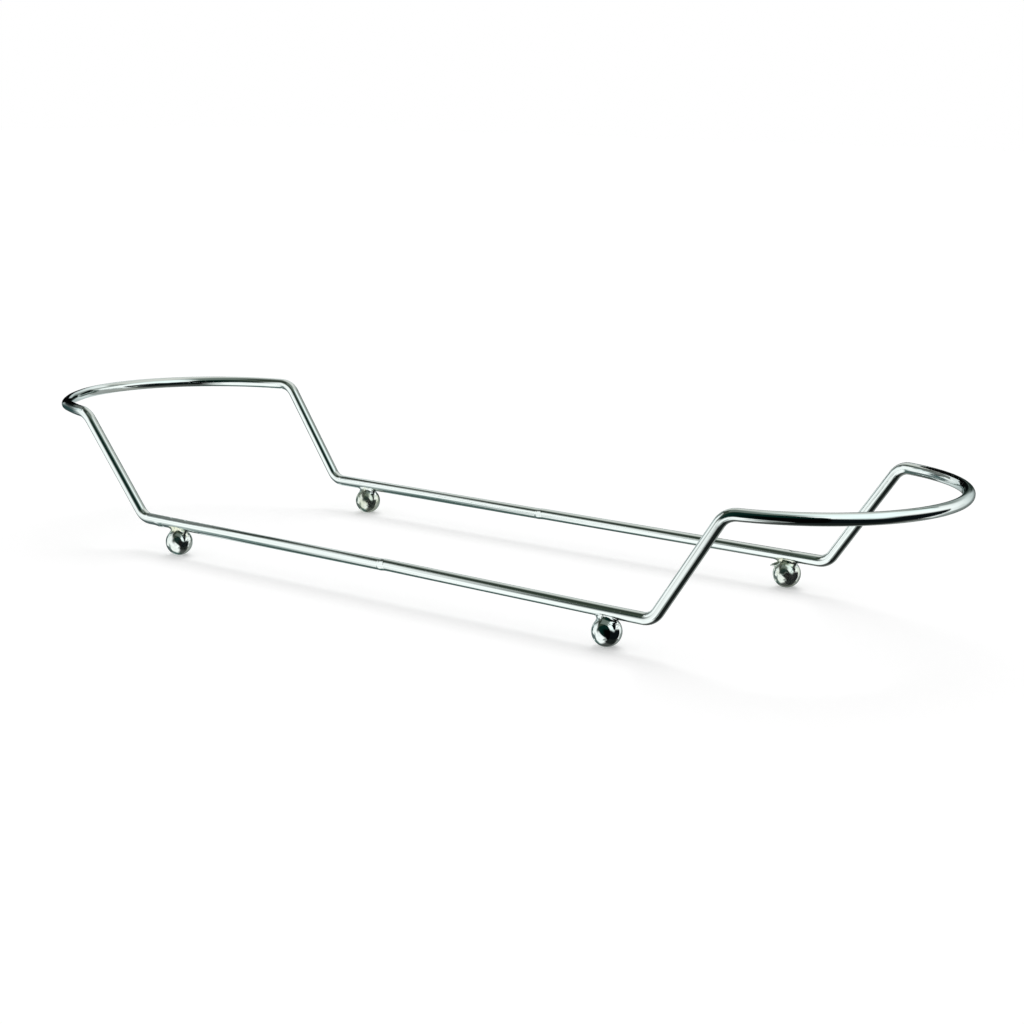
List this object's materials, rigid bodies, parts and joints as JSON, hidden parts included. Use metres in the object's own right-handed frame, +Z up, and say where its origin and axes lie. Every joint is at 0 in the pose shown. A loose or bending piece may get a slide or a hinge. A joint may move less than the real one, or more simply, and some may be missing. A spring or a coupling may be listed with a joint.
{
  "type": "wire dish stand",
  "caption": "Low chromed wire stand that carries an oval baking dish on two rails, with sloping legs, a bow handle at each end and ball feet.",
  "frame": {"origin": "on the table, under the middle of the stand's box", "axes": "+X along the rails towards the right handle, +Y from the front rail to the back rail, +Z up"},
  "size_m": [0.461, 0.1428, 0.0607],
  "materials": {
    "chromed_wire": "bright chrome plating on drawn steel wire, mirror smooth, with faint lengthwise draw lines",
    "chromed_ball": "bright chrome plating on a steel ball, mirror smooth, with light handling scratches",
    "plated_weld": "chrome plating over weld metal, slightly dull, uneven and yellowed"
  },
  "bodies": {
    "root": {"left_frame_wire": "chromed_wire", "right_frame_wire": "chromed_wire", "front_rail_weld": "plated_weld", "back_rail_weld": "plated_weld", "front_left_ball_foot": "chromed_ball", "back_left_ball_foot": "chromed_ball", "front_right_ball_foot": "chromed_ball", "back_right_ball_foot": "chromed_ball", "front_left_foot_weld": "plated_weld", "back_left_foot_weld": "plated_weld", "front_right_foot_weld": "plated_weld", "back_right_foot_weld": "plated_weld"}
  },
  "joints": []
}
